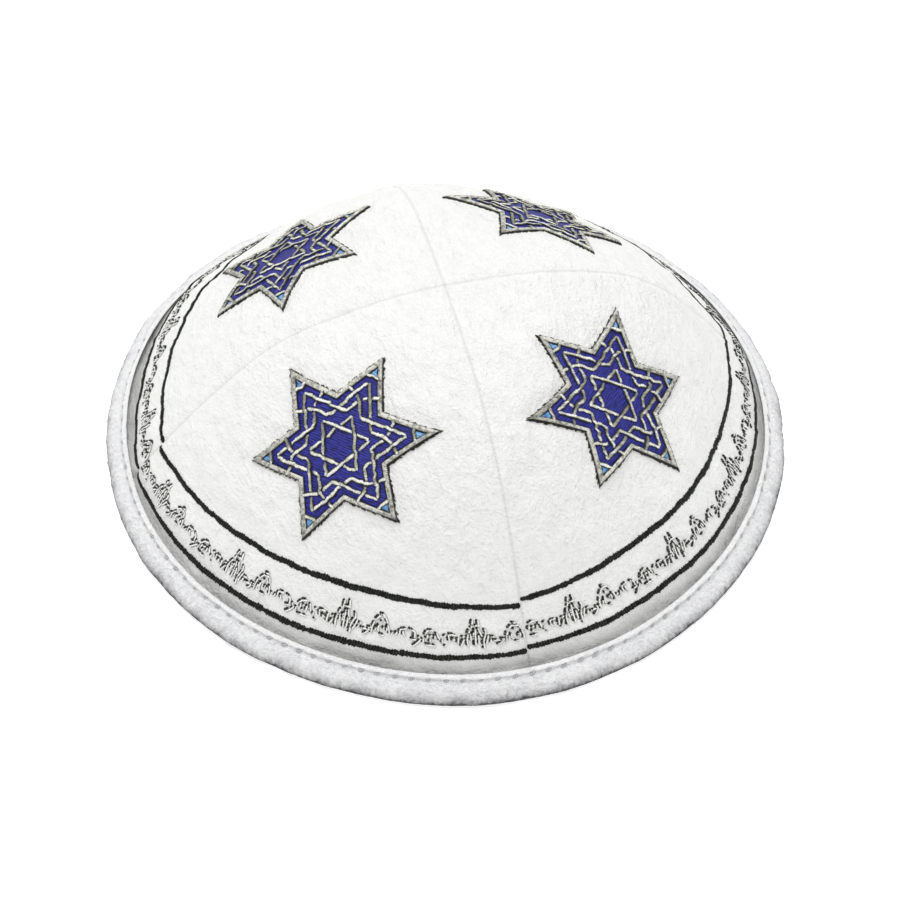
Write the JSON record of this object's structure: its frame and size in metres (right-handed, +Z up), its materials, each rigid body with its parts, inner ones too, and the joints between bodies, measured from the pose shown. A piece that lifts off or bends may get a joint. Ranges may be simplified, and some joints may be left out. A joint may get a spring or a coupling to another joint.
{
  "type": "kippah skullcap",
  "caption": "Round domed skullcap of sewn suede panels with embroidered stars, border lines and a bound rim; worn on the crown of the head.",
  "frame": {"origin": "on the table under the middle of the cap, in the plane of the binding's flat underside", "axes": "+Z up through the crown, -Y towards the front seam, +X towards the right seam"},
  "size_m": [0.1695, 0.1703, 0.0529],
  "materials": {
    "suede": "white suede with a short matt nap",
    "velour": "white brushed velour tape",
    "silver_thread": "silver-grey embroidery thread, satin sheen",
    "blue_thread": "royal blue embroidery thread, satin sheen",
    "dark_thread": "near-black embroidery thread"
  },
  "bodies": {
    "root": {"panel_front_right": "suede", "panel_back_right": "suede", "panel_back_left": "suede", "panel_front_left": "suede", "star_edge_front_right": "silver_thread", "star_edge_back_right": "silver_thread", "star_edge_back_left": "silver_thread", "star_edge_front_left": "silver_thread", "star_field_front_right": "blue_thread", "star_field_back_right": "blue_thread", "star_field_back_left": "blue_thread", "star_field_front_left": "blue_thread", "upper_line_front_right": "dark_thread", "upper_line_back_right": "dark_thread", "upper_line_back_left": "dark_thread", "upper_line_front_left": "dark_thread", "lower_line_front_right": "dark_thread", "lower_line_back_right": "dark_thread", "lower_line_back_left": "dark_thread", "lower_line_front_left": "dark_thread", "rim_binding": "velour"}
  },
  "joints": []
}
